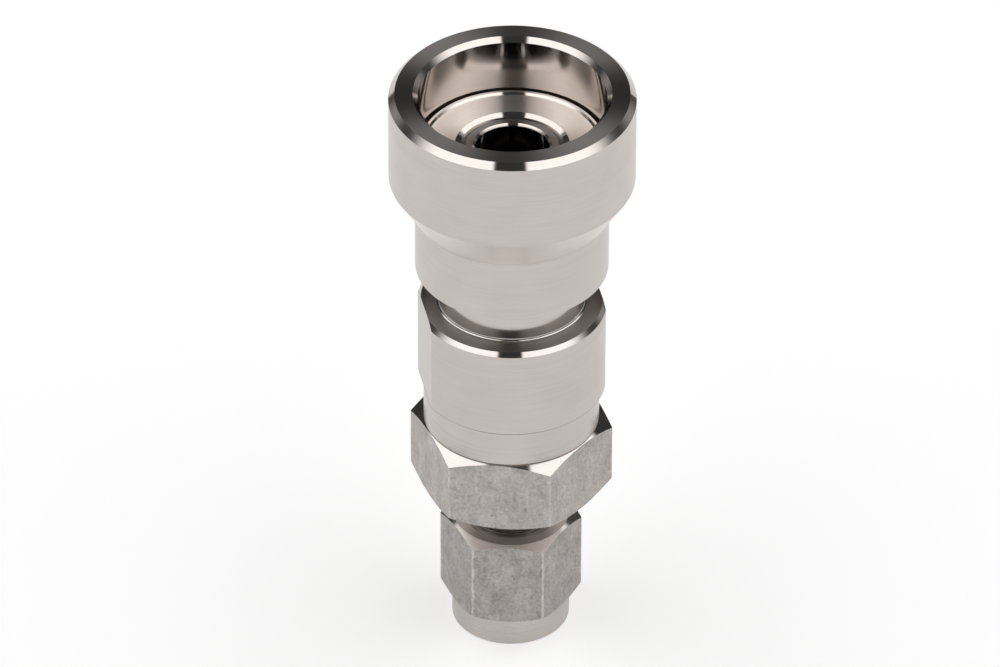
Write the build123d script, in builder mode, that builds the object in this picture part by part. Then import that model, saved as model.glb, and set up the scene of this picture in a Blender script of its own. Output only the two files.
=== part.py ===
from build123d import *
import os
from math import cos, pi, radians, sin, tan

# Female half of a ball-locked quick connect coupling, standing on its tube nut.
# Millimetres. The origin is on the axis at the foot of the tube nut, and +Z points to the open cup.

# Running fits and other clearances
slide_gap = 0.03  # radial gap of pieces that slide on each other
loose_gap = 0.05  # gap of loose pieces, threads and seats
face_gap = 0.02  # gap between faces that bear on each other across a joint

# Tube end: nut, ferrules and the fitting nose that they close on
tube_radius = 3.0
nut_wall = 1.85  # from the thread's pitch radius to the flats
nut_height = 14.4
tail_step = 0.27  # of the round tail inside the flats
tail_height = 3.5
nut_top_step = 0.35  # the corners are chamfered from this far inside the flats outwards
nut_foot_step = 0.1
nut_hex_turn = -2.9
nut_mouth_chamfer = 0.25
edge_break = 0.15
fitting_nose_wall = 0.95  # from the ferrules' cone to the thread's pitch radius
thread_pitch = 1.27
tightening_turns = 1.25
ferrule_cone_angle = 12.0
ferrule_wall = 1.2
front_ferrule_length = 3.5
front_ferrule_recess = 0.6
back_ferrule_length = 2.2
back_ferrule_flange = 0.9
back_ferrule_slope = 0.3
nut_floor = 3.07
socket_depth = 2.5
socket_shoulder = 0.6

# End adapter: hex, collar and the plug that screws into the housing
nut_gap = 4.7
relief_depth = 0.45
hex_height = 9.2
hex_foot_step = 0.35
hex_chamfer_angle = 30.0
adapter_hex_turn = -7.7
collar_step = 0.75
collar_height = 4.9
collar_break = 0.2
plug_length = 7.8
plug_thread_wall = 2.7  # from the housing's outside to the thread's pitch radius
plug_chamfer = 0.5
seal_bore_step = 0.45
gland_length = 2.0
adapter_seal_section = 1.4
plug_wall = 2.1
guide_shelf_width = 1.0
drill_point_angle = 59.0
drill_shoulder_depth = 3.9

# Housing with its wrench flats, and the tube above it
shoulder_width = 2.56
housing_height = 11.33
housing_chamfer = 0.46
seam_chamfer = 0.12
wrench_flat_depth = 0.7
wrench_angle = 12.0
neck_step = 0.84
neck_fillet = 0.45
stem_radius = 4.18
seat_height = 2.9
chamber_step = 1.4
tip_radius = 6.41
tip_depth = 0.1  # of the tube's mouth under the nose ring
tip_land_radius = 5.2
tip_groove_radius = 5.9
tip_groove_depth = 0.25
stem_chamfer = 0.25

# Ball lock
ball_count = 6
ball_radius = 1.984
ball_bite = 0.81  # how far the balls stand into the stem bore when locked
ball_release = 0.931  # how far they move out over the sleeve's travel
sleeve_travel = 4.9
pocket_angle = 20.0
pocket_relief = 0.25  # the stem bore is wider around the balls, so that their edges can't mark the stem
cone_lead = 0.12
land_length = 0.6

# Locking sleeve and its stop ring
spring_room = 0.405  # beside the spring, towards the neck and towards the skirt
skirt_wall = 1.0
skirt_chamfer = 0.15
stop_gap = 0.07
cup_wall = 3.26
head_height = 11.0
taper_height = 4.7
rim_chamfer = 0.69
cup_chamfer = 0.55
cup_depth = 7.08
nose_stop_width = 1.917  # how far the ring reaches over the sleeve's step
nose_gap = 0.3
nose_thickness = 1.36
nose_lip = 0.23
nose_lip_width = 0.3

# Sleeve spring and the washer and snap ring under it
sleeve_wire = 0.9
sleeve_turns = 3.0
washer_thickness = 0.5
snap_thickness = 0.6
snap_groove_depth = 0.5
snap_height = 0.6
snap_lift = 0.3
snap_opening = 5.0
neck_margin = 0.5

# Stem seal
stem_seal_section = 1.78
stem_seal_squeeze = 0.2
backup_thickness = 1.2
gland_web = 1.05

# Poppet, its seal, spring and guide
poppet_travel = 3.5
poppet_nose_gap = 0.58  # around the nose, in the stem bore
poppet_nose_height = 1.8
poppet_flow_gap = 0.8  # around the head, in the adapter's bore
poppet_head_height = 1.5
poppet_stem_radius = 1.4
poppet_stem_overhang = 2.0
poppet_slot_width = 1.2
poppet_slot_depth = 1.2
poppet_slots = 4
poppet_seal_section = 1.4
poppet_seal_inset = 0.2  # of the seal from the middle of the cone
poppet_break = 0.3
poppet_wire = 0.6
poppet_turns = 6.5
poppet_spring_room = 4.5  # left between the coils with the poppet pushed in
pilot_height = 1.0
guide_thickness = 1.6
guide_boss_radius = 2.4
guide_window_width = 1.2
guide_windows = 3
guide_window_arc = 80.0

# Radii of the tube end, worked out from the tube
ferrule_mouth_radius = tube_radius + ferrule_wall
back_ferrule_radius = ferrule_mouth_radius - loose_gap
thread_radius = ferrule_mouth_radius + fitting_nose_wall
relief_radius = thread_radius - relief_depth
nut_flat = thread_radius + nut_wall
flow_radius = tube_radius - socket_shoulder

# Levels of the stack, from the foot up
nut_advance = thread_pitch * tightening_turns
nut_top = nut_height
hex_bottom = nut_top + nut_gap
hex_top = hex_bottom + hex_height
collar_top = hex_top + collar_height
housing_top = collar_top + housing_height
sleeve_bottom = housing_top + sleeve_travel + stop_gap

# Lock geometry: the cone in the sleeve lets the balls out as the sleeve is drawn back
cone_slope = ball_release / sleeve_travel
cone_cos = 1 / (1 + cone_slope**2) ** 0.5
cone_sin = cone_slope * cone_cos
ball_rest_radius = stem_radius - ball_bite + ball_radius
ball_contact_drop = (ball_radius + loose_gap) * cone_sin
ball_reach = (ball_radius + loose_gap) / cone_cos
land_radius = ball_rest_radius + ball_reach - (ball_contact_drop + cone_lead) * cone_slope
ball_tube_radius = land_radius - slide_gap

# Radii of the housing and of the adapter, worked out from the tube
neck_radius = ball_tube_radius + neck_step
housing_radius = neck_radius + shoulder_width
wrench_across_flats = 2 * (housing_radius - wrench_flat_depth)
collar_radius = housing_radius - collar_step
plug_radius = housing_radius - plug_thread_wall
adapter_bore_radius = plug_radius - plug_wall
chamber_radius = plug_radius - chamber_step
poppet_nose_radius = stem_radius - poppet_nose_gap
poppet_head_radius = adapter_bore_radius - poppet_flow_gap
poppet_seal_radius = (poppet_nose_radius + poppet_head_radius) / 2 - poppet_seal_inset

# Heights inside the sleeve, from its foot up
snap_bottom = sleeve_bottom + snap_lift
washer_bottom = snap_bottom + snap_thickness
spring_bottom = washer_bottom + washer_thickness
land_bottom = spring_bottom + sleeve_travel + sleeve_turns * sleeve_wire + stop_gap
cone_start = land_bottom + land_length
ball_height = cone_start + cone_lead + ball_contact_drop
sleeve_step = ball_height - ball_contact_drop + sleeve_travel
nose_seat = sleeve_step + loose_gap
nose_face = nose_seat + nose_thickness
rim = nose_face + cup_depth
neck_top = land_bottom - sleeve_travel - neck_margin

# Radii of the sleeve, worked out from the neck, the spring and the cone
skirt_bore_radius = neck_radius + sleeve_wire + 2 * spring_room
skirt_radius = skirt_bore_radius + skirt_wall
cone_top_radius = land_radius + (sleeve_step - cone_start) * cone_slope
nose_radius = cone_top_radius + nose_stop_width
cup_radius = nose_radius + nose_gap
head_radius = cup_radius + cup_wall
head_bottom = rim - head_height
taper_bottom = head_bottom - taper_height

os.makedirs("parts", exist_ok=True)


def finish(piece, label):
    """Label a finished piece and write it to its own file."""
    piece.label = label
    export_step(piece, f"parts/{label}.step")


def o_ring(inner_radius, section, height, label):
    """A seal of round section whose hole has the given radius."""
    with BuildPart(Plane.XY.offset(height)) as seal:
        Torus(inner_radius + section / 2, section / 2)
    finish(seal.part, label)


def flat_ring(inner_radius, outer_radius, bottom, thickness):
    """A plain washer lying at the given height."""
    with BuildPart() as ring:
        with BuildSketch(Plane.XY.offset(bottom)):
            Circle(outer_radius)
            Circle(inner_radius, mode=Mode.SUBTRACT)
        extrude(amount=thickness)
    return ring.part


def coil_spring(mean_radius, wire, turns, bottom, top, label):
    """A compression spring with closed, flat ground ends between two heights."""
    closed_turns = 0.75
    open_rise = (top - bottom - 2 * closed_turns * wire) / (turns - 2 * closed_turns)
    steps = round(turns * 12)
    centre_line = []
    for step in range(steps + 1):
        turn = turns * step / steps
        opened = min(max(turn - closed_turns, 0), turns - 2 * closed_turns)
        rise = (turn - opened) * wire + opened * open_rise
        angle = 2 * pi * turn
        centre_line.append((mean_radius * cos(angle), mean_radius * sin(angle), bottom + rise))
    with BuildPart() as spring:
        with BuildLine() as path:
            Spline(*centre_line)
        with BuildSketch(Plane(origin=path.line @ 0, z_dir=path.line % 0)):
            Circle(wire / 2)
        sweep(path=path.line, is_frenet=True)
        with BuildSketch(Plane.XY.offset(bottom)):
            Circle(mean_radius + wire)
        extrude(amount=top - bottom, mode=Mode.INTERSECT)
    finish(spring.part, label)


def wrench_hexagon(across_flats, bottom, top, foot_radius, top_radius, turn):
    """A hexagon whose corners are chamfered at both ends, from the given radii outwards."""
    corner_radius = across_flats / 2 / cos(pi / 6)
    chamfer_tan = tan(radians(hex_chamfer_angle))
    with BuildPart() as hexagon:
        with BuildSketch(Plane.XY.offset(bottom)):
            RegularPolygon(across_flats / 2, 6, major_radius=False, rotation=turn)
        extrude(amount=top - bottom)
        with BuildSketch(Plane.XZ):
            with BuildLine():
                Polyline(
                    (0, bottom),
                    (foot_radius, bottom),
                    (corner_radius, bottom + (corner_radius - foot_radius) * chamfer_tan),
                    (corner_radius, top - (corner_radius - top_radius) * chamfer_tan),
                    (top_radius, top),
                    (0, top),
                    close=True,
                )
            make_face()
        revolve(axis=Axis.Z, mode=Mode.INTERSECT)
    return hexagon.part


# Housing and tube, turned from one bar
seal_bore_radius = plug_radius + seal_bore_step
thread_top = collar_top + plug_length + plug_chamfer
seat_top = housing_top + seat_height
seat_bottom = seat_top - (chamber_radius - stem_radius)
gland_top = ball_height - ball_radius - loose_gap - gland_web
stem_gland_radius = stem_radius - stem_seal_squeeze + stem_seal_section + face_gap
stem_gland_length = stem_seal_section + 6 * loose_gap + backup_thickness
gland_bottom = gland_top - stem_gland_length
tip_floor = nose_face - tip_depth
tip_groove_floor = tip_floor - tip_groove_depth
snap_groove_radius = neck_radius - snap_groove_depth

# The pocket narrows inwards at an angle, so its ball can't drop into the bore.
pocket_radius = ball_radius + loose_gap
pocket_tan = tan(radians(pocket_angle))
relief_radius_at_balls = stem_radius + pocket_relief
relief_bottom = ball_height - pocket_radius
relief_top = ball_height + pocket_radius
pocket_taper_start = ball_rest_radius - pocket_radius * tan(radians(pocket_angle / 2))
pocket_end = stem_radius - pocket_radius
with BuildPart() as ball_pocket:
    with BuildSketch(Plane.XZ) as pocket_profile:
        with BuildLine():
            Polyline(
                (housing_radius, ball_height),
                (housing_radius, ball_height + pocket_radius),
                (pocket_taper_start, ball_height + pocket_radius),
                (pocket_end, ball_height + pocket_radius - (pocket_taper_start - pocket_end) * pocket_tan),
                (pocket_end, ball_height),
                close=True,
            )
        make_face()
    revolve(axis=Axis((0, 0, ball_height), (1, 0, 0)))

with BuildPart() as coupling_body:
    with BuildSketch(Plane.XY.offset(collar_top)):
        Circle(housing_radius)
    extrude(amount=housing_height)
    chamfer(coupling_body.edges().group_by(Axis.Z)[-1], housing_chamfer)
    chamfer(coupling_body.edges().group_by(Axis.Z)[0], seam_chamfer)
    with Locations((0, 0, collar_top + housing_height / 2)):
        with PolarLocations(wrench_across_flats, 2, start_angle=wrench_angle):
            Box(wrench_across_flats, 3 * housing_radius, 2 * housing_height, mode=Mode.SUBTRACT)
    with BuildSketch(Plane.XY.offset(housing_top)):
        Circle(neck_radius)
    extrude(amount=neck_top - housing_top)
    shoulder_edges = coupling_body.edges().filter_by_position(Axis.Z, housing_top, housing_top)
    fillet(shoulder_edges.filter_by(GeomType.CIRCLE).sort_by(SortBy.RADIUS)[0], neck_fillet)
    chamfer(coupling_body.edges().group_by(Axis.Z)[-1], neck_radius - ball_tube_radius)
    with BuildSketch(Plane.XY.offset(neck_top)):
        Circle(ball_tube_radius)
    extrude(amount=nose_seat - neck_top)
    with BuildSketch(Plane.XY.offset(nose_seat)):
        Circle(tip_radius)
    extrude(amount=nose_thickness)
    with BuildSketch(Plane.XZ) as bore_profile:
        with BuildLine():
            Polyline(
                (0, collar_top),
                (seal_bore_radius, collar_top),
                (seal_bore_radius, collar_top + gland_length),
                (plug_radius, collar_top + gland_length + plug_chamfer),
                (plug_radius, thread_top),
                (chamber_radius, thread_top),
                (chamber_radius, seat_bottom),
                (stem_radius, seat_top),
                (stem_radius, gland_bottom),
                (stem_gland_radius, gland_bottom),
                (stem_gland_radius, gland_top),
                (stem_radius, gland_top),
                (stem_radius, relief_bottom - pocket_relief),
                (relief_radius_at_balls, relief_bottom),
                (relief_radius_at_balls, relief_top),
                (stem_radius, relief_top + pocket_relief),
                (stem_radius, tip_floor - stem_chamfer),
                (stem_radius + stem_chamfer, tip_floor),
                (tip_land_radius, tip_floor),
                (tip_groove_radius, tip_groove_floor),
                (tip_radius, nose_face),
                (tip_radius, rim),
                (0, rim),
                close=True,
            )
        make_face()
    revolve(axis=Axis.Z, mode=Mode.SUBTRACT)
    with BuildSketch(Plane.XY.offset(snap_bottom - face_gap)):
        Circle(neck_radius + loose_gap)
        Circle(snap_groove_radius, mode=Mode.SUBTRACT)
    extrude(amount=snap_thickness + face_gap, mode=Mode.SUBTRACT)
    with PolarLocations(0, ball_count):
        add(ball_pocket.part, mode=Mode.SUBTRACT)
finish(coupling_body.part, "coupling_body")

# Stop ring screwed on the tip of the tube: the floor of the cup
with BuildPart() as nose_ring:
    with BuildSketch(Plane.XZ) as nose_profile:
        with BuildLine():
            Polyline(
                (tip_radius + face_gap, nose_seat),
                (nose_radius - edge_break, nose_seat),
                (nose_radius, nose_seat + edge_break),
                (nose_radius, nose_face + nose_lip),
                (nose_radius - nose_lip_width, nose_face + nose_lip),
                (nose_radius - nose_lip_width - nose_lip, nose_face),
                (tip_radius + face_gap, nose_face),
                close=True,
            )
        make_face()
    revolve(axis=Axis.Z)
finish(nose_ring.part, "nose_ring")

# Locking balls, one in each pocket of the tube
with BuildPart(Plane.XY.offset(ball_height)) as ball:
    with Locations((ball_rest_radius, 0, 0)):
        Sphere(ball_radius)
for index in range(ball_count):
    turned_ball = ball.part.rotate(Axis.Z, index * 360 / ball_count)
    finish(turned_ball, f"locking_ball_{index + 1}")

# Locking sleeve: cup, cone for the balls, and the bore over the spring
with BuildPart() as locking_sleeve:
    with BuildSketch(Plane.XZ) as sleeve_profile:
        with BuildLine():
            Polyline(
                (skirt_bore_radius, sleeve_bottom + skirt_chamfer),
                (skirt_bore_radius + skirt_chamfer, sleeve_bottom),
                (skirt_radius, sleeve_bottom),
                (skirt_radius, taper_bottom),
                (head_radius, head_bottom),
                (head_radius, rim - rim_chamfer),
                (head_radius - rim_chamfer, rim),
                (cup_radius + cup_chamfer, rim),
                (cup_radius, rim - cup_chamfer),
                (cup_radius, sleeve_step),
                (cone_top_radius, sleeve_step),
                (land_radius, cone_start),
                (land_radius, land_bottom),
                (skirt_bore_radius, land_bottom),
                close=True,
            )
        make_face()
    revolve(axis=Axis.Z)
finish(locking_sleeve.part, "locking_sleeve")

# Snap ring in the neck groove, the washer on it and the spring that pushes the sleeve up
with BuildPart() as seat_snap_ring:
    with BuildSketch(Plane.XY.offset(snap_bottom)):
        Circle(neck_radius + snap_height)
        Circle(snap_groove_radius + face_gap, mode=Mode.SUBTRACT)
        with Locations((neck_radius, 0)):
            Rectangle(neck_radius, snap_opening, mode=Mode.SUBTRACT)
    extrude(amount=snap_thickness)
finish(seat_snap_ring.part, "seat_snap_ring")
spring_seat = flat_ring(
    neck_radius + loose_gap, skirt_bore_radius - 2 * loose_gap, washer_bottom, washer_thickness
)
finish(spring_seat, "spring_seat")
sleeve_spring_radius = (neck_radius + skirt_bore_radius) / 2
coil_spring(sleeve_spring_radius, sleeve_wire, sleeve_turns, spring_bottom, land_bottom, "sleeve_spring")

# Stem seal and its backup ring in the tube's groove
stem_seal_height = gland_bottom + backup_thickness + stem_seal_section / 2 + loose_gap
o_ring(stem_radius - stem_seal_squeeze, stem_seal_section, stem_seal_height, "stem_o_ring")
backup_ring = flat_ring(
    stem_radius + loose_gap,
    stem_gland_radius - face_gap,
    gland_bottom + face_gap,
    backup_thickness - face_gap,
)
finish(backup_ring, "backup_ring")

# Poppet levels: its cone stops just under the seat, and its spring stands on the guide
head_gap = 2**0.5 * loose_gap
poppet_top = seat_top + poppet_nose_height
head_top = seat_top + stem_radius - head_gap - poppet_nose_radius
head_edge = seat_top + stem_radius - head_gap - poppet_head_radius
spring_face = head_edge - poppet_head_height
guide_top = spring_face - poppet_travel - poppet_turns * poppet_wire - poppet_spring_room

# Adapter heights, inside and out
plug_top = collar_top + plug_length
guide_shelf = guide_top - guide_thickness
drill_shoulder = guide_shelf - drill_shoulder_depth
shelf_radius = adapter_bore_radius - guide_shelf_width
flow_top = drill_shoulder - (shelf_radius - flow_radius) / tan(radians(drill_point_angle))
cone_tan = tan(radians(ferrule_cone_angle))
ferrule_bottom = nut_floor + face_gap + back_ferrule_length - front_ferrule_recess + 2 * loose_gap
adapter_bottom = ferrule_bottom + nut_advance - loose_gap
socket_radius = tube_radius + loose_gap
cone_top = adapter_bottom + (ferrule_mouth_radius - socket_radius) / cone_tan
socket_top = cone_top + socket_depth
gland_floor_radius = seal_bore_radius - adapter_seal_section - 2 * face_gap

# End adapter: nose for the ferrules, hex, collar and plug in one piece
with BuildPart() as end_adapter:
    add(
        wrench_hexagon(
            wrench_across_flats,
            hex_bottom,
            hex_top,
            collar_radius - hex_foot_step,
            collar_radius,
            adapter_hex_turn,
        )
    )
    with BuildSketch(Plane.XZ) as turned_profile:
        with BuildLine():
            Polyline(
                (0, adapter_bottom),
                (thread_radius - edge_break, adapter_bottom),
                (thread_radius, adapter_bottom + edge_break),
                (thread_radius, nut_top - nut_mouth_chamfer),
                (relief_radius, nut_top - nut_mouth_chamfer),
                (relief_radius, hex_bottom + loose_gap),
                (collar_radius - collar_break, hex_bottom + hex_height / 2),
                (collar_radius - collar_break, hex_top),
                (collar_radius, hex_top + collar_break),
                (collar_radius, collar_top),
                (gland_floor_radius, collar_top),
                (gland_floor_radius, collar_top + gland_length),
                (plug_radius - loose_gap, collar_top + gland_length),
                (plug_radius - loose_gap, plug_top - plug_chamfer),
                (plug_radius - loose_gap - plug_chamfer, plug_top),
                (0, plug_top),
                close=True,
            )
        make_face()
    revolve(axis=Axis.Z)
    with BuildSketch(Plane.XZ) as adapter_bore_profile:
        with BuildLine():
            Polyline(
                (0, adapter_bottom),
                (ferrule_mouth_radius, adapter_bottom),
                (socket_radius, cone_top),
                (socket_radius, socket_top),
                (flow_radius, socket_top),
                (flow_radius, flow_top),
                (shelf_radius, drill_shoulder),
                (shelf_radius, guide_shelf),
                (adapter_bore_radius, guide_shelf),
                (adapter_bore_radius, plug_top),
                (0, plug_top),
                close=True,
            )
        make_face()
    revolve(axis=Axis.Z, mode=Mode.SUBTRACT)
finish(end_adapter.part, "end_adapter")
o_ring(gland_floor_radius + face_gap, adapter_seal_section, collar_top + gland_length / 2, "adapter_o_ring")

# Poppet guide: a spider that lets the flow past and steers the poppet's stem
guide_window_radius = guide_boss_radius + guide_window_width / 2
with BuildPart() as poppet_guide:
    with BuildSketch(Plane.XY.offset(guide_shelf)):
        Circle(adapter_bore_radius - loose_gap)
        Circle(poppet_stem_radius + loose_gap, mode=Mode.SUBTRACT)
        with PolarLocations(0, guide_windows):
            with BuildLine(mode=Mode.PRIVATE) as window_arc:
                CenterArc((0, 0), guide_window_radius, 0, guide_window_arc)
            SlotArc(window_arc.edge(), guide_window_width, mode=Mode.SUBTRACT)
    extrude(amount=guide_thickness)
finish(poppet_guide.part, "poppet_guide")

# Poppet: cone that closes the seat, nose that the plug's stem pushes, own stem in the guide
poppet_spring_radius = poppet_head_radius - poppet_wire
pilot_radius = poppet_spring_radius - poppet_wire / 2 - poppet_break
poppet_seal_drop = (poppet_seal_section / 2 + face_gap) * 2**0.5
poppet_seal_height = seat_top + stem_radius - poppet_seal_radius - poppet_seal_drop
with BuildPart() as poppet:
    with BuildSketch(Plane.XZ) as poppet_profile:
        with BuildLine():
            Polyline(
                (0, poppet_top),
                (poppet_nose_radius - poppet_break, poppet_top),
                (poppet_nose_radius, poppet_top - poppet_break),
                (poppet_nose_radius, head_top),
                (poppet_head_radius, head_edge),
                (poppet_head_radius, spring_face),
                (pilot_radius, spring_face),
                (pilot_radius, spring_face - pilot_height),
                (poppet_stem_radius, spring_face - pilot_height),
                (poppet_stem_radius, guide_shelf - poppet_stem_overhang),
                (0, guide_shelf - poppet_stem_overhang),
                close=True,
            )
        make_face()
    revolve(axis=Axis.Z)
    with BuildSketch(Plane.XY.offset(poppet_top)):
        with PolarLocations(poppet_nose_radius, poppet_slots):
            Rectangle(2 * poppet_nose_radius, poppet_slot_width)
    extrude(amount=-poppet_slot_depth, mode=Mode.SUBTRACT)
    with Locations((0, 0, poppet_seal_height)):
        Torus(poppet_seal_radius, poppet_seal_section / 2 + face_gap, mode=Mode.SUBTRACT)
finish(poppet.part, "poppet")
poppet_seal_hole = poppet_seal_radius - poppet_seal_section / 2
o_ring(poppet_seal_hole, poppet_seal_section, poppet_seal_height, "poppet_o_ring")
coil_spring(poppet_spring_radius, poppet_wire, poppet_turns, guide_top, spring_face, "poppet_spring")

# Ferrules that the nut drives into the adapter's cone
tube_bore_radius = tube_radius + loose_gap + slide_gap
back_bottom = nut_floor + face_gap
back_top = back_bottom + back_ferrule_length
flange_top = back_bottom + back_ferrule_flange
waist_radius = tube_bore_radius + front_ferrule_recess - loose_gap
front_top = ferrule_bottom + front_ferrule_length
front_foot_radius = ferrule_mouth_radius - loose_gap * (1 + cone_tan)
with BuildPart() as front_ferrule:
    with BuildSketch(Plane.XZ) as front_profile:
        with BuildLine():
            Polyline(
                (tube_bore_radius + front_ferrule_recess, ferrule_bottom),
                (front_foot_radius, ferrule_bottom),
                (front_foot_radius - front_ferrule_length * cone_tan, front_top),
                (tube_bore_radius, front_top),
                (tube_bore_radius, ferrule_bottom + front_ferrule_recess),
                close=True,
            )
        make_face()
    revolve(axis=Axis.Z)
finish(front_ferrule.part, "front_ferrule")
with BuildPart() as back_ferrule:
    with BuildSketch(Plane.XZ) as back_profile:
        with BuildLine():
            Polyline(
                (tube_bore_radius, back_bottom),
                (back_ferrule_radius, back_bottom),
                (back_ferrule_radius, flange_top),
                (waist_radius, flange_top + back_ferrule_slope),
                (waist_radius, ferrule_bottom),
                (tube_bore_radius + loose_gap, back_top),
                (tube_bore_radius, back_top),
                close=True,
            )
        make_face()
    revolve(axis=Axis.Z)
finish(back_ferrule.part, "back_ferrule")

# Tube nut: hexagon with a round tail, bored for the tube, the ferrules and the thread
nut_hole_radius = tube_bore_radius + loose_gap
cavity_radius = back_ferrule_radius + 2 * loose_gap
thread_bottom = adapter_bottom - nut_advance - loose_gap
nut_thread_radius = thread_radius + loose_gap
with BuildPart() as tube_nut:
    add(
        wrench_hexagon(
            2 * nut_flat,
            tail_height,
            nut_top,
            nut_flat - nut_foot_step,
            nut_flat - nut_top_step,
            nut_hex_turn,
        )
    )
    with BuildSketch():
        Circle(nut_flat - tail_step)
    extrude(amount=tail_height)
    chamfer(tube_nut.edges().group_by(Axis.Z)[0], edge_break)
    with BuildSketch(Plane.XZ) as nut_bore_profile:
        with BuildLine():
            Polyline(
                (0, 0),
                (nut_hole_radius + edge_break, 0),
                (nut_hole_radius, edge_break),
                (nut_hole_radius, nut_floor),
                (cavity_radius, nut_floor),
                (cavity_radius, thread_bottom),
                (nut_thread_radius, thread_bottom),
                (nut_thread_radius, nut_top - nut_mouth_chamfer),
                (nut_thread_radius + nut_mouth_chamfer, nut_top),
                (0, nut_top),
                close=True,
            )
        make_face()
    revolve(axis=Axis.Z, mode=Mode.SUBTRACT)
finish(tube_nut.part, "tube_nut")
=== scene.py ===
from math import cos, pi, radians, sin

import bmesh
import bpy
from mathutils import Matrix, Vector


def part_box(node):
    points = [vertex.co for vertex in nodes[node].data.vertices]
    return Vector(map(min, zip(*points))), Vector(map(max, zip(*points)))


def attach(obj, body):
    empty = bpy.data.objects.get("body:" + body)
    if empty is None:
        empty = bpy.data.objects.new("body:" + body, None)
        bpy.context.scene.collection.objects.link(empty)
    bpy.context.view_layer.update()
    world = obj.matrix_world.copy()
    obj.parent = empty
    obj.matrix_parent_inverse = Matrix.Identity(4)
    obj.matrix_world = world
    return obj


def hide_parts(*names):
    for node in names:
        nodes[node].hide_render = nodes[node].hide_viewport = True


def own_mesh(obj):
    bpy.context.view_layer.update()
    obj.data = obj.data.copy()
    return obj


# Looks of a ball-locked quick connect coupling in bare stainless steel, standing on its tube nut.
# Metres. +Z points to the open cup, and the photograph looks along +Y.
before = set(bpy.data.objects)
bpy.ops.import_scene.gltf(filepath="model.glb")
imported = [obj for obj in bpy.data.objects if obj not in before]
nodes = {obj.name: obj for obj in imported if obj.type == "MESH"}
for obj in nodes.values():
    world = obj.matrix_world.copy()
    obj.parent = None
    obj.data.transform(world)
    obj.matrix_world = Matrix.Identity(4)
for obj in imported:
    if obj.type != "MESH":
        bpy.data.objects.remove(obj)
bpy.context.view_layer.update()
MM = 0.001

# Camera of the photograph, fitted to the rims and edges of the turned faces
photo_width = 1000
photo_focal_pixels = 9500
sensor_width = 36.0
camera_distance = 1.070
camera_elevation = radians(36.87)
camera_roll = radians(0.145)
camera_target = Vector((-1.31 * MM, 0, 39.49 * MM))

# White table. The lifts are light of its own, as the steel's reflections and the camera see it.
floor_radius = 3.0
floor_sides = 96
floor_colour = (0.72, 0.72, 0.72)
mirror_lift = 0.36
camera_lift = 0.44

# Two softboxes lying overhead, left and right of a dark slot. Their edges are shares of their height.
softbox_light = 2.1
slot_centre = -0.03
slot_half_width = 0.23
slot_blur = 0.02
side_full = 1.15
side_end = 1.95
front_edge = 0.95
back_edge = 0.92
edge_blur = 0.12
least_height = 0.001

# The room: a bright low horizon that fades out behind the object, dim elsewhere, white to the camera
room_light = 0.06
horizon_light = 0.95
horizon_full = 0.12
horizon_end = 0.38
horizon_back = 0.45
horizon_back_end = 0.8
backdrop_light = 1.0

# The values that most of a noise texture lies between, and the width of the edge of a zone on the steel
noise_low = 0.3
noise_high = 0.7
zone_edge = 0.05 * MM

# Lathe lines: circles of uneven depth that stretch a highlight across them
turned_anisotropy = 0.9
across_the_lines = 0.25
line_drift = 0.02
line_scale = 9000
band_scale = 1300
band_share = 0.25
light_line_share = 0.3
satin_spread = (0.03, -0.02)
blotch_scale = 260
blotch_shades = (0.97, 1.02)
speck_scale = 1500
speck_range = (0.13, 0.18)
speck_shade = 0.6

# Zones of a turned piece, told apart by the upward part of the surface normal. Undercuts get painted light
# and flat faces painted shade
undercut_range = (-0.45, -0.2)
# painted light: the colour of faces that look down is lifted, as if the table they mirror were lit right up
# to the object
undercut_painted_light = 1.25
slope_range = (0.15, 0.25)
level_range = (0.93, 0.97)
flat_range = (0.95, 0.98)
flat_roughness = 0.36
# painted shade: flat faces darkened, standing in for the dim room they mirror
painted_flat_shade = 0.55
chamfer_haze = 0.03

# Painted shade: dark in the deep bore, and a dark line just over the seam where the housing overhangs the
# collar
bore_painted_shade = 0.12
bore_lip = 0.3 * MM
seam_painted_shade = 0.3
seam_range = (0.12 * MM, 0.2 * MM)

# Cold-drawn faces of the hexagons: cloudy, grainy and drawn out along the axis, with pits, and painted
# highlights on the corners
face_range = (0.1, 0.2)
face_inset = 0.01 * MM
drawn_squeeze = 0.3
drawn_scale = 2400
drawn_share = 0.2
cloud_scale = 420
cloud_share = 0.3
grain_scale = 3000
grain_share = 0.5
surface_range = (0.36, 0.64)
pit_scale = 2100
pit_range = (0.22, 0.3)
pit_shade = 0.62
corner_ragged = 0.16 * MM
corner_range = (-0.02 * MM, 0.05 * MM)
face_haze = 0.06
hexagon_line_depth = 0.6e-6
hexagon_line_shade = 0.06
# The neck entry darkens the relief neck as painted shade, and the corner entry lightens the corners as a
# painted highlight
adapter_look = {
    "turned_roughness": 0.24,
    "chamfer_roughness": 0.08,
    "polished_radius": 5.0 * MM,
    "neck_painted_shade": 0.6,
    "face_shade": 0.80,
    "face_roughness": 0.34,
    "mottle": 0.28,
    "corner_painted_highlight": 0.15,
    "pit_depth": 3e-6,
}
nut_look = {
    "turned_roughness": 0.28,
    "chamfer_roughness": 0.20,
    "polished_radius": 3.4 * MM,
    "neck_painted_shade": 0.6,
    "face_shade": 0.76,
    "face_roughness": 0.36,
    "mottle": 0.32,
    "corner_painted_highlight": 0.35,
    "pit_depth": 4e-6,
}

# Rolled and moulded surfaces
haze_scale = 900
haze_shade = 0.97
haze_spread = 0.06
haze_depth = 0.5e-6
mould_scale = 2500
mould_shade = 0.85
mould_spread = 0.1

# Springs, as the part's source has them
sleeve_wire = 0.9 * MM
sleeve_turns = 3.0
poppet_wire = 0.6 * MM
poppet_turns = 6.5
closed_turns = 0.75
spring_steps = 48
wire_sides = 20

ball_count = 6


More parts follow.
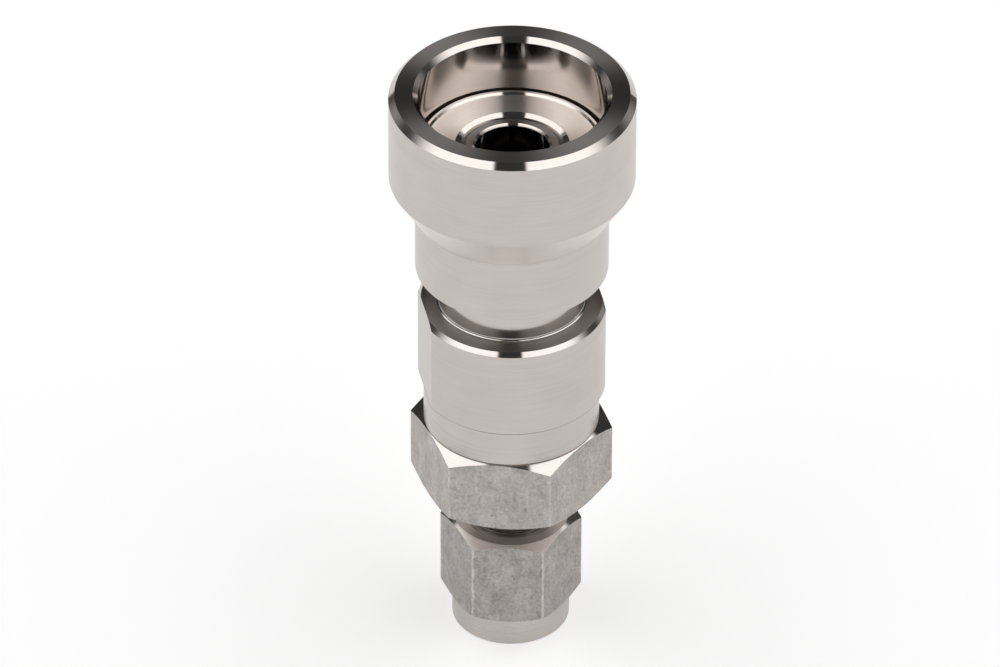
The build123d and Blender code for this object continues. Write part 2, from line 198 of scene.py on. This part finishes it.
def make_camera():
    """The photograph's own view: from the front and above, through a long lens."""
    data = bpy.data.cameras.new("photo_camera")
    data.sensor_width = sensor_width
    data.lens = photo_focal_pixels * sensor_width / photo_width
    camera = bpy.data.objects.new("photo_camera", data)
    back = Vector((0, -cos(camera_elevation), sin(camera_elevation)))
    camera.location = camera_target + camera_distance * back
    look = Matrix.Rotation(pi / 2 - camera_elevation, 3, "X") @ Matrix.Rotation(camera_roll, 3, "Z")
    camera.rotation_euler = look.to_euler()
    bpy.context.collection.objects.link(camera)
    bpy.context.scene.camera = camera


class Nodes:
    """Short hand for one node tree: add a node, set its sockets, and link what is passed in."""

    def __init__(self, tree):
        self.tree = tree
        tree.nodes.clear()

    def add(self, kind, inputs=None, **settings):
        node = self.tree.nodes.new(kind)
        for key, value in settings.items():
            setattr(node, key, value)
        for key, value in (inputs or {}).items():
            if isinstance(value, bpy.types.NodeSocket):
                self.tree.links.new(value, node.inputs[key])
            else:
                node.inputs[key].default_value = value
        return node

    def math(self, operation, *values):
        return self.add("ShaderNodeMath", dict(enumerate(values)), operation=operation).outputs[0]

    def ramp(self, value, low, high, out_low=0.0, out_high=1.0, smooth=False):
        """Map a value from one range to another, clamped."""
        inputs = {"Value": value, "From Min": low, "From Max": high, "To Min": out_low, "To Max": out_high}
        kind = "SMOOTHSTEP" if smooth else "LINEAR"
        return self.add("ShaderNodeMapRange", inputs, interpolation_type=kind).outputs[0]

    def spread(self, noise, out_low, out_high):
        """Map a noise to a range."""
        return self.ramp(noise, noise_low, noise_high, out_low, out_high)

    def noise(self, vector, scale, detail, roughness=0.5):
        inputs = {"Vector": vector, "Scale": scale, "Detail": detail, "Roughness": roughness}
        return self.add("ShaderNodeTexNoise", inputs).outputs[0]

    def bump(self, height, distance):
        inputs = {"Strength": 1.0, "Distance": distance, "Height": height}
        return self.add("ShaderNodeBump", inputs).outputs[0]

    def blend(self, factor, first, second):
        """Mix two numbers."""
        return self.add("ShaderNodeMix", {0: factor, 2: first, 3: second}).outputs[0]

    def mix_colour(self, factor, first, second, blend="MIX"):
        inputs = {0: factor, 6: first, 7: second}
        return self.add("ShaderNodeMix", data_type="RGBA", blend_type=blend, inputs=inputs).outputs[2]


def new_material(name):
    """A material with an empty node tree."""
    material = bpy.data.materials.new(name)
    material.use_nodes = True
    return material, Nodes(material.node_tree)


def make_world():
    """Softboxes overhead, a bright low horizon, and a dim room between them."""
    world = bpy.data.worlds.new("studio")
    world.use_nodes = True
    bpy.context.scene.world = world
    net = Nodes(world.node_tree)
    direction = net.add("ShaderNodeTexCoord").outputs["Generated"]
    split = net.add("ShaderNodeSeparateXYZ", {0: direction}).outputs
    height = net.math("MAXIMUM", split[2], least_height)
    across = net.math("DIVIDE", split[0], height)
    along = net.math("DIVIDE", split[1], height)
    from_slot = net.math("ABSOLUTE", net.math("SUBTRACT", across, slot_centre))
    inner = net.ramp(from_slot, slot_half_width - slot_blur, slot_half_width + slot_blur)
    outer = net.ramp(net.math("ABSOLUTE", across), side_full, side_end, 1.0, 0.0, smooth=True)
    front = net.ramp(along, -front_edge - edge_blur, -front_edge + edge_blur)
    back = net.ramp(along, back_edge - edge_blur, back_edge + edge_blur, 1.0, 0.0)
    softbox = net.math("MULTIPLY", net.math("MULTIPLY", inner, outer), net.math("MULTIPLY", front, back))
    horizon = net.ramp(split[2], horizon_full, horizon_end, 1.0, 0.0, smooth=True)
    horizon = net.math("MULTIPLY", horizon, net.ramp(split[1], horizon_back, horizon_back_end, 1.0, 0.0))
    light = net.math("MULTIPLY_ADD", softbox, softbox_light - room_light, room_light)
    light = net.math("MULTIPLY_ADD", horizon, horizon_light - room_light, light)
    camera_ray = net.add("ShaderNodeLightPath").outputs["Is Camera Ray"]
    strength = net.blend(camera_ray, light, backdrop_light)
    background = net.add("ShaderNodeBackground", {"Strength": strength}).outputs[0]
    net.add("ShaderNodeOutputWorld", {"Surface": background})


def make_floor():
    """A plain white table that keeps the object's shadow."""
    mesh = bpy.data.meshes.new("floor")
    disc = bmesh.new()
    bmesh.ops.create_circle(disc, cap_ends=True, segments=floor_sides, radius=floor_radius)
    disc.to_mesh(mesh)
    disc.free()
    floor = bpy.data.objects.new("floor", mesh)
    bpy.context.collection.objects.link(floor)
    material, net = new_material("white_table")
    paint = net.add("ShaderNodeBsdfDiffuse", {"Color": (*floor_colour, 1)}).outputs[0]
    path = net.add("ShaderNodeLightPath").outputs
    mirrored = net.math("MAXIMUM", path["Is Glossy Ray"], path["Is Transmission Ray"])
    lift = net.math("MULTIPLY", mirrored, mirror_lift)
    lift = net.math("MULTIPLY_ADD", path["Is Camera Ray"], camera_lift, lift)
    glow = net.add("ShaderNodeEmission", {"Strength": lift}).outputs[0]
    both = net.add("ShaderNodeAddShader", {0: paint, 1: glow}).outputs[0]
    net.add("ShaderNodeOutputMaterial", {"Surface": both})
    mesh.materials.append(material)


def finish_steel(net, shade, roughness, normal, colour, anisotropy=0.0):
    """The metal shader itself, with its colour shaded and its roughness varied."""
    tint = net.mix_colour(1.0, (*colour, 1), shade, blend="MULTIPLY")
    inputs = {"Base Color": tint, "Metallic": 1.0, "Roughness": roughness, "Normal": normal}
    inputs["Anisotropic"] = anisotropy
    inputs["Anisotropic Rotation"] = across_the_lines
    shader = net.add("ShaderNodeBsdfPrincipled", inputs)
    if anisotropy:
        tangent = net.add("ShaderNodeTangent", direction_type="RADIAL", axis="Z").outputs[0]
        net.tree.links.new(tangent, shader.inputs["Tangent"])
    net.add("ShaderNodeOutputMaterial", {"Surface": shader.outputs[0]})


class TurnedFace:
    """Steel left by the lathe: what its lines, shade and roughness are at a point of the surface.

    Cylinders and undercuts are satin, and undercuts get painted light: their colour is lifted where they
    face down.
    Flat faces are blurred outwards from the axis. Chamfers that look up, and everything inside the polished
    radius, mirror the room.
    """

    def __init__(self, net, roughness, line_shade, polished_radius, chamfer_roughness):
        coordinates = net.add("ShaderNodeTexCoord").outputs
        self.position = coordinates["Object"]
        split = net.add("ShaderNodeSeparateXYZ", {0: self.position}).outputs
        from_axis = net.add("ShaderNodeCombineXYZ", {0: split[0], 1: split[1]}).outputs[0]
        self.radius = net.add("ShaderNodeVectorMath", {0: from_axis}, operation="LENGTH").outputs["Value"]
        self.height = split[2]
        self.lean = net.add("ShaderNodeSeparateXYZ", {0: coordinates["Normal"]}).outputs[2]

        # A vector that hardly changes along the circles a lathe tool leaves
        drift = net.math("MULTIPLY", split[0], line_drift)
        rings = net.add("ShaderNodeCombineXYZ", {0: self.radius, 1: self.height, 2: drift}).outputs[0]
        fine = net.noise(rings, line_scale, detail=3)
        band = net.noise(rings, band_scale, detail=2)
        blotch = net.noise(self.position, blotch_scale, detail=4)
        speck = net.noise(self.position, speck_scale, detail=1)
        self.line = net.math("MULTIPLY_ADD", band, band_share, net.math("MULTIPLY", fine, 1 - band_share))

        shade = net.spread(self.line, 1 - line_shade, 1 + line_shade * light_line_share)
        shade = net.math("MULTIPLY", shade, net.spread(blotch, *blotch_shades))
        shade = net.math("MULTIPLY", shade, net.ramp(speck, *speck_range, speck_shade, 1.0))
        # Painted light on faces that look down
        self.shade = net.math("MULTIPLY", shade, net.ramp(self.lean, *undercut_range, undercut_painted_light, 1.0))

        inside = self.inside(net, polished_radius)
        not_level = net.ramp(self.lean, *level_range, 1.0, 0.0)
        sloped = net.math("MULTIPLY", net.ramp(self.lean, *slope_range), not_level)
        polished = net.math("MAXIMUM", sloped, net.math("MULTIPLY", inside, not_level))
        self.flat = net.ramp(self.lean, *flat_range)
        satin = net.spread(self.line, roughness + satin_spread[0], roughness + satin_spread[1])
        mirror = net.spread(blotch, chamfer_roughness, chamfer_roughness + chamfer_haze)
        self.roughness = net.blend(polished, net.blend(self.flat, satin, flat_roughness), mirror)

    def inside(self, net, radius):
        """One inside a radius, and nothing outside it."""
        return net.ramp(self.radius, radius, radius + zone_edge, 1.0, 0.0)


def turned_steel(
    name,
    colour,
    roughness,
    line_depth,
    line_shade,
    polished_radius=0.0,
    chamfer_roughness=0.08,
    painted_flat_light=painted_flat_shade,
    bore=None,
    seam=None,
):
    """Steel left by the lathe, with painted shade in its bore (radius, mouth height) and just over its
    seam, and its flat faces darkened as painted shade, lightened as painted light where their multiplier is
    above one.
    """
    material, net = new_material(name)
    face = TurnedFace(net, roughness, line_shade, polished_radius, chamfer_roughness)
    # Flat faces: painted shade below a multiplier of one, painted light above it
    shade = net.math("MULTIPLY", face.shade, net.blend(face.flat, 1.0, painted_flat_light))
    # Painted shade in the deep bore, fading out at its mouth
    if bore:
        bore_radius, bore_mouth = bore
        outside = net.ramp(face.radius, bore_radius, bore_radius + zone_edge, bore_painted_shade, 1.0)
        above = net.ramp(face.height, bore_mouth - bore_lip, bore_mouth)
        shade = net.math("MULTIPLY", shade, net.math("MAXIMUM", outside, above))
    # Painted shadow: the bottom edge of the housing darkened, just over its seam with the collar
    if seam:
        painted_seam_shadow = net.ramp(face.height, seam + seam_range[0], seam + seam_range[1], seam_painted_shade, 1.0)
        shade = net.math("MULTIPLY", shade, painted_seam_shadow)
    finish_steel(net, shade, face.roughness, net.bump(face.line, line_depth), colour, turned_anisotropy)
    return material


def hexagon_steel(name, colour, look, flat_radius):
    """Hexagon bar: cold-drawn mottled flats, with the chamfers, ends and round stretches turned, painted
    shade in the relief neck and painted highlights on the corners.
    """
    material, net = new_material(name)
    polished_radius = look["polished_radius"]
    face = TurnedFace(
        net, look["turned_roughness"], hexagon_line_shade, polished_radius, look["chamfer_roughness"]
    )
    upright = net.ramp(net.math("ABSOLUTE", face.lean), *face_range, 1.0, 0.0)
    outside = net.ramp(face.radius, flat_radius - face_inset, flat_radius)
    drawn_face = net.math("MULTIPLY", upright, outside)

    squeeze = {"Vector": face.position, "Scale": (1, 1, drawn_squeeze)}
    stretched = net.add("ShaderNodeMapping", squeeze).outputs[0]
    cloud = net.noise(face.position, cloud_scale, detail=5, roughness=0.65)
    grain = net.noise(face.position, grain_scale, detail=3, roughness=0.7)
    drawn = net.noise(stretched, drawn_scale, detail=2)
    surface = net.math("MULTIPLY_ADD", grain, grain_share, net.math("MULTIPLY", cloud, cloud_share))
    surface = net.math("MULTIPLY_ADD", drawn, drawn_share, surface)

    dark = look["face_shade"] * (1 - look["mottle"])
    light = look["face_shade"] * (1 + look["mottle"])
    drawn_shade = net.ramp(surface, *surface_range, dark, light)
    pit = net.ramp(net.noise(face.position, pit_scale, detail=1), *pit_range, pit_shade, 1.0)
    drawn_shade = net.math("MULTIPLY", drawn_shade, pit)

    # Painted highlight: a ragged light line along the corners, standing in for the glint of their edges
    corner_radius = flat_radius / cos(pi / 6)
    ragged = net.math("MULTIPLY_ADD", grain, corner_ragged, face.radius)
    painted_corner_glint = net.ramp(ragged, corner_radius + corner_range[0], corner_radius + corner_range[1])
    drawn_shade = net.math("MULTIPLY_ADD", painted_corner_glint, look["corner_painted_highlight"], drawn_shade)
    roughness = look["face_roughness"]
    drawn_rough = net.spread(cloud, roughness + face_haze, roughness - face_haze)

    turned_height = net.math("MULTIPLY", face.line, hexagon_line_depth)
    drawn_height = net.math("MULTIPLY", surface, look["pit_depth"])
    relief = net.blend(drawn_face, turned_height, drawn_height)
    # Painted shade on the relief neck inside the polished radius
    neck = face.inside(net, polished_radius)
    turned_shade = net.math("MULTIPLY", face.shade, net.blend(neck, 1.0, look["neck_painted_shade"]))
    shade = net.blend(drawn_face, turned_shade, drawn_shade)
    rough = net.blend(drawn_face, face.roughness, drawn_rough)
    finish_steel(net, shade, rough, net.bump(relief, 1.0), colour, turned_anisotropy)
    return material


def polished_steel(name, colour, roughness):
    """Rolled or polished steel with a faint haze."""
    material, net = new_material(name)
    position = net.add("ShaderNodeTexCoord").outputs["Object"]
    haze = net.noise(position, haze_scale, detail=3)
    shade = net.spread(haze, haze_shade, 1.0)
    rough = net.spread(haze, roughness, roughness + haze_spread)
    finish_steel(net, shade, rough, net.bump(haze, haze_depth), colour)
    return material


def moulded(name, colour, roughness, grain_depth):
    """Rubber or plastic with the faint grain of its mould."""
    material, net = new_material(name)
    position = net.add("ShaderNodeTexCoord").outputs["Object"]
    grain = net.noise(position, mould_scale, detail=3)
    darker = [part * mould_shade for part in colour]
    tint = net.mix_colour(net.spread(grain, 0.0, 1.0), (*darker, 1), (*colour, 1))
    rough = net.spread(grain, roughness, roughness + mould_spread)
    inputs = {"Base Color": tint, "Roughness": rough, "Normal": net.bump(grain, grain_depth)}
    shader = net.add("ShaderNodeBsdfPrincipled", inputs).outputs[0]
    net.add("ShaderNodeOutputMaterial", {"Surface": shader})
    return material


def coil_spring(name, node, wire, turns, material):
    """A wire spring with ground ends in the place of its CAD node."""
    low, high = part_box(node)
    bottom = low[2]
    top = high[2]
    mean_radius = (high[0] - low[0]) / 2 - wire / 2
    open_turns = turns - 2 * closed_turns
    open_rise = (top - bottom - 2 * closed_turns * wire) / open_turns
    shape = bmesh.new()
    lie = Matrix.Translation((mean_radius, 0, bottom)) @ Matrix.Rotation(pi / 2, 4, "X")
    bmesh.ops.create_circle(shape, segments=wire_sides, radius=wire / 2, matrix=lie)
    ring = shape.edges[:]
    for part_turns, rise in ((closed_turns, wire), (open_turns, open_rise), (closed_turns, wire)):
        spun = bmesh.ops.spin(
            shape,
            geom=ring,
            cent=(0, 0, 0),
            axis=(0, 0, 1),
            dvec=(0, 0, rise / spring_steps),
            angle=part_turns * 2 * pi,
            steps=round(part_turns * spring_steps),
        )
        ring = [item for item in spun["geom_last"] if isinstance(item, bmesh.types.BMEdge)]
    for height, normal in ((bottom, -1), (top, 1)):
        bmesh.ops.bisect_plane(
            shape,
            geom=shape.verts[:] + shape.edges[:] + shape.faces[:],
            plane_co=(0, 0, height),
            plane_no=(0, 0, normal),
            clear_outer=True,
        )
    bmesh.ops.holes_fill(shape, edges=shape.edges[:], sides=0)
    bmesh.ops.recalc_face_normals(shape, faces=shape.faces[:])
    mesh = bpy.data.meshes.new(name)
    shape.to_mesh(mesh)
    shape.free()
    mesh.shade_smooth()
    mesh.materials.append(material)
    spring = bpy.data.objects.new(name, mesh)
    bpy.context.collection.objects.link(spring)
    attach(spring, "main_body")
    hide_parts(node)
    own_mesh(spring)


bpy.context.scene.view_settings.view_transform = "Standard"
make_camera()
make_world()
make_floor()

# Finishes
sleeve_finish = turned_steel(
    "sleeve_steel_finish",
    colour=(0.62, 0.57, 0.535),
    roughness=0.24,
    line_depth=0.7e-6,
    line_shade=0.05,
    polished_radius=10.7 * MM,
)
nose_finish = turned_steel(
    "nose_steel_finish",
    colour=(0.66, 0.61, 0.57),
    roughness=0.30,
    line_depth=0.6e-6,
    line_shade=0.06,
    # painted light: the nose's flat faces lightened, standing in for the bright wall they mirror
    painted_flat_light=1.4,
)
housing_finish = turned_steel(
    "housing_steel_finish",
    colour=(0.61, 0.56, 0.525),
    roughness=0.24,
    line_depth=0.7e-6,
    line_shade=0.05,
    polished_radius=9.3 * MM,
    bore=(4.45 * MM, 65.4 * MM),
    seam=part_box("coupling_body")[0][2],
)
poppet_finish = turned_steel(
    "poppet_steel_finish", colour=(0.58, 0.54, 0.51), roughness=0.24, line_depth=0.7e-6, line_shade=0.06
)
ferrule_finish = turned_steel(
    "ferrule_steel_finish", colour=(0.58, 0.54, 0.51), roughness=0.26, line_depth=0.7e-6, line_shade=0.06
)
adapter_finish = hexagon_steel(
    "adapter_steel_finish", colour=(0.61, 0.565, 0.53), look=adapter_look, flat_radius=9.99 * MM
)
nut_finish = hexagon_steel(
    "nut_steel_finish", colour=(0.58, 0.54, 0.51), look=nut_look, flat_radius=6.99 * MM
)
ball_finish = polished_steel("ball_steel_finish", colour=(0.68, 0.66, 0.64), roughness=0.08)
spring_finish = polished_steel("spring_steel_finish", colour=(0.50, 0.48, 0.46), roughness=0.22)
rubber_finish = moulded(
    "black_rubber_finish", colour=(0.022, 0.022, 0.024), roughness=0.5, grain_depth=2e-6
)
plastic_finish = moulded(
    "white_plastic_finish", colour=(0.80, 0.79, 0.75), roughness=0.4, grain_depth=1e-6
)

finish_of_node = {
    "locking_sleeve": sleeve_finish,
    "nose_ring": nose_finish,
    "coupling_body": housing_finish,
    "end_adapter": adapter_finish,
    "tube_nut": nut_finish,
    "seat_snap_ring": spring_finish,
    "spring_seat": spring_finish,
    "stem_o_ring": rubber_finish,
    "poppet_o_ring": rubber_finish,
    "adapter_o_ring": rubber_finish,
    "backup_ring": plastic_finish,
    "poppet": poppet_finish,
    "poppet_guide": poppet_finish,
    "front_ferrule": ferrule_finish,
    "back_ferrule": ferrule_finish,
}
for index in range(ball_count):
    finish_of_node[f"locking_ball_{index + 1}"] = ball_finish
for node, finish in finish_of_node.items():
    for material_slot in nodes[node].material_slots:
        material_slot.material = finish

coil_spring(
    "sleeve_spring_wire",
    "sleeve_spring",
    sleeve_wire,
    sleeve_turns,
    spring_finish,
)
coil_spring(
    "poppet_spring_wire",
    "poppet_spring",
    poppet_wire,
    poppet_turns,
    spring_finish,
)
